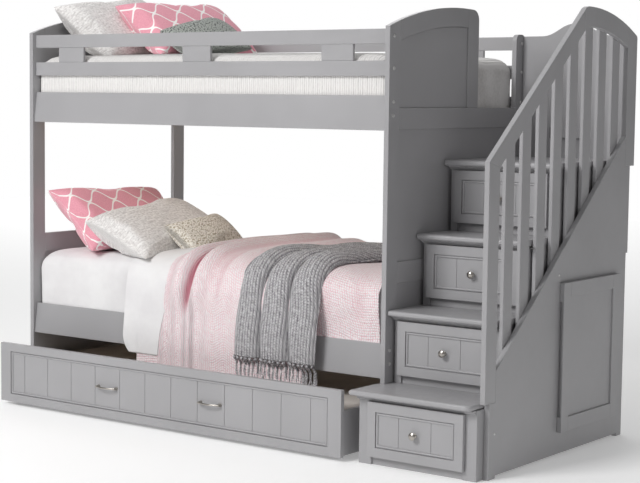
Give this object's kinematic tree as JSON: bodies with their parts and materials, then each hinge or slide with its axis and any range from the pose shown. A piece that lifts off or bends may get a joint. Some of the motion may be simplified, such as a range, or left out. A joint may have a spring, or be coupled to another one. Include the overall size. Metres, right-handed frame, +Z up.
{
  "type": "bunk bed",
  "caption": "Twin over twin bunk bed in grey painted timber with a staircase of drawers at its foot, a side guard with balusters, a cupboard, a roll-out trundle and made-up bedding.",
  "frame": {"origin": "middle of the whole footprint, on the floor", "axes": "+X from the head end to the stairs, +Y from the front to the back, +Z up"},
  "size_m": [2.542, 1.2909, 1.8309],
  "materials": {
    "grey_paint": "satin grey paint on timber",
    "inner_wood": "clear lacquered timber",
    "slat_wood": "bare planed pine",
    "satin_nickel": "satin nickel plate",
    "bolt_steel": "grey enamelled bolt heads",
    "bracket_steel": "zinc plated",
    "wheel_plastic": "moulded plastic",
    "white_sheet": "smooth white cotton",
    "white_coverlet": "white ribbed quilting",
    "mattress_ticking": "plain ticking",
    "pink_quilt": "pale pink waffle quilting",
    "grey_knit": "chunky grey knit",
    "grey_linen": "grey linen",
    "pink_trellis": "pink with a white trellis",
    "ivory_boucle": "looped wool"
  },
  "bodies": {
    "bed": {"boucle_pillows": "ivory_boucle", "cupboard_lining": "inner_wood", "door_hinge_plates": "satin_nickel", "drawer_runners": "inner_wood", "first_step_sides": "grey_paint", "foot_panels": "grey_paint", "foot_posts": "grey_paint", "foot_rails": "grey_paint", "frame_bolts": "bolt_steel", "guard_blocks": "grey_paint", "guard_rails": "grey_paint", "head_panels": "grey_paint", "head_posts": "grey_paint", "head_rails": "grey_paint", "linen_pillows": "grey_linen", "lower_mattress": "white_sheet", "quilt": "pink_quilt", "rear_guard": "grey_paint", "side_guard_balusters": "grey_paint", "side_guard_battens": "grey_paint", "side_guard_panel": "grey_paint", "side_guard_rails": "grey_paint", "side_guard_stiles": "grey_paint", "side_rails": "grey_paint", "slat_cleats": "slat_wood", "slats": "slat_wood", "stair_back": "grey_paint", "stair_left_side": "grey_paint", "stair_right_side": "grey_paint", "step_face_frames": "grey_paint", "throw": "grey_knit", "tread_1": "grey_paint", "tread_2": "grey_paint", "tread_3": "grey_paint", "tread_4": "grey_paint", "tread_mouldings": "grey_paint", "trellis_pillows": "pink_trellis", "upper_mattress": "white_coverlet"},
    "trundle": {"trundle_front": "grey_paint", "trundle_box": "grey_paint", "trundle_handles": "satin_nickel", "caster_brackets": "bracket_steel", "trundle_mattress": "mattress_ticking"},
    "front_wheel_pair": {"front_wheels": "wheel_plastic"},
    "rear_wheel_pair": {"rear_wheels": "wheel_plastic"},
    "door": {"door_frame": "grey_paint", "door_panel": "grey_paint", "door_hinge_wings": "satin_nickel"},
    "drawer_1": {"drawer_1_front": "grey_paint", "drawer_1_box": "inner_wood", "drawer_1_knob": "satin_nickel"},
    "drawer_2": {"drawer_2_front": "grey_paint", "drawer_2_box": "inner_wood", "drawer_2_knob": "satin_nickel"},
    "drawer_3": {"drawer_3_front": "grey_paint", "drawer_3_box": "inner_wood", "drawer_3_knob": "satin_nickel"},
    "drawer_4": {"drawer_4_front": "grey_paint", "drawer_4_box": "inner_wood", "drawer_4_knob": "satin_nickel"}
  },
  "joints": [
    {"name": "drawer_1_slide", "type": "slide", "parent": "bed", "child": "drawer_1", "axis": [0, -1, 0], "range_m": [0, 0.28]},
    {"name": "drawer_2_slide", "type": "slide", "parent": "bed", "child": "drawer_2", "axis": [0, -1, 0], "range_m": [0, 0.28]},
    {"name": "drawer_3_slide", "type": "slide", "parent": "bed", "child": "drawer_3", "axis": [0, -1, 0], "range_m": [0, 0.28]},
    {"name": "drawer_4_slide", "type": "slide", "parent": "bed", "child": "drawer_4", "axis": [0, -1, 0], "range_m": [0, 0.28]},
    {"name": "door_hinge", "type": "hinge", "parent": "bed", "child": "door", "pos_m": [1.26125, 0.5075, 0.399], "axis": [0, 0, 1], "range_deg": [0, 105]},
    {"name": "trundle_slide", "type": "slide", "parent": "bed", "child": "trundle", "axis": [0, -1, 0], "range_m": [-0.142, 0.7]},
    {"name": "front_wheels_roll", "type": "hinge", "parent": "trundle", "child": "front_wheel_pair", "pos_m": [-0.306, -0.5085, 0.025], "axis": [1, 0, 0], "continuous": true},
    {"name": "rear_wheels_roll", "type": "hinge", "parent": "trundle", "child": "rear_wheel_pair", "pos_m": [-0.306, 0.3195, 0.025], "axis": [1, 0, 0], "continuous": true}
  ],
  "couplings": [
    {"joint": "front_wheels_roll", "follows": "trundle_slide", "rad_per_m": 40},
    {"joint": "rear_wheels_roll", "follows": "trundle_slide", "rad_per_m": 40}
  ]
}
